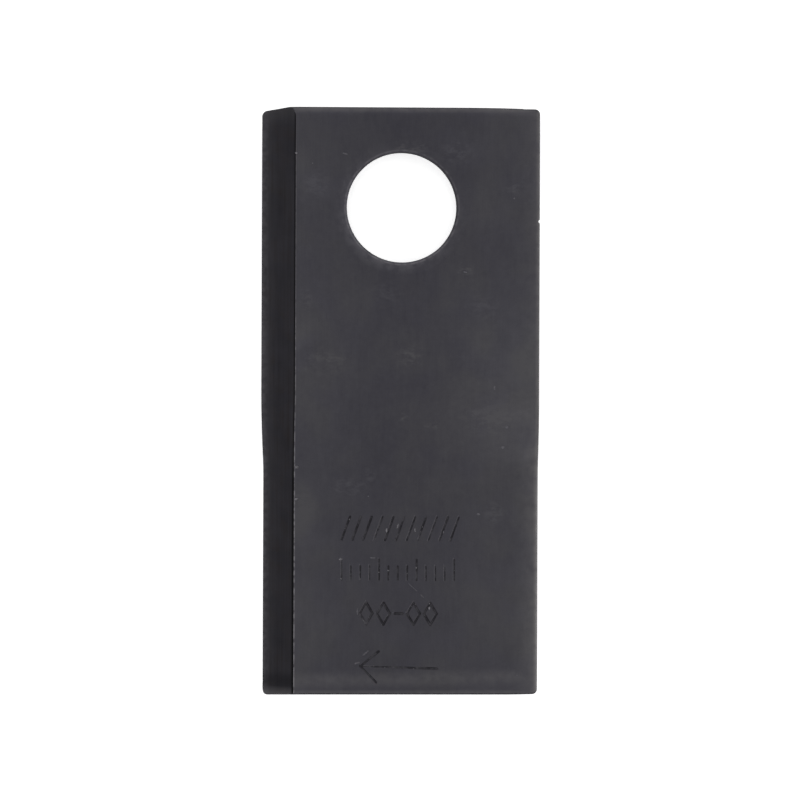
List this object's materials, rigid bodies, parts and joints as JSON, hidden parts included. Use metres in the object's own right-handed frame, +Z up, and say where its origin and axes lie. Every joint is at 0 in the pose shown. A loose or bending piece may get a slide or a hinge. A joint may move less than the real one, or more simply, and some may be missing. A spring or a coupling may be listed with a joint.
{
  "type": "rotary mower blade",
  "caption": "Twisted flat steel blade for a rotary mower, with a round pivot bore near its end and bevelled cutting edges along its long sides.",
  "frame": {"origin": "centre of the blade's outline, on the surface that it lies on", "axes": "+X across the blade, +Y along it towards the bore, +Z up out of the stamped face"},
  "size_m": [0.0498, 0.105, 0.007],
  "materials": {
    "steel": "satin dark oxide on hardened spring steel"
  },
  "bodies": {
    "root": {"blade": "steel"}
  },
  "joints": []
}
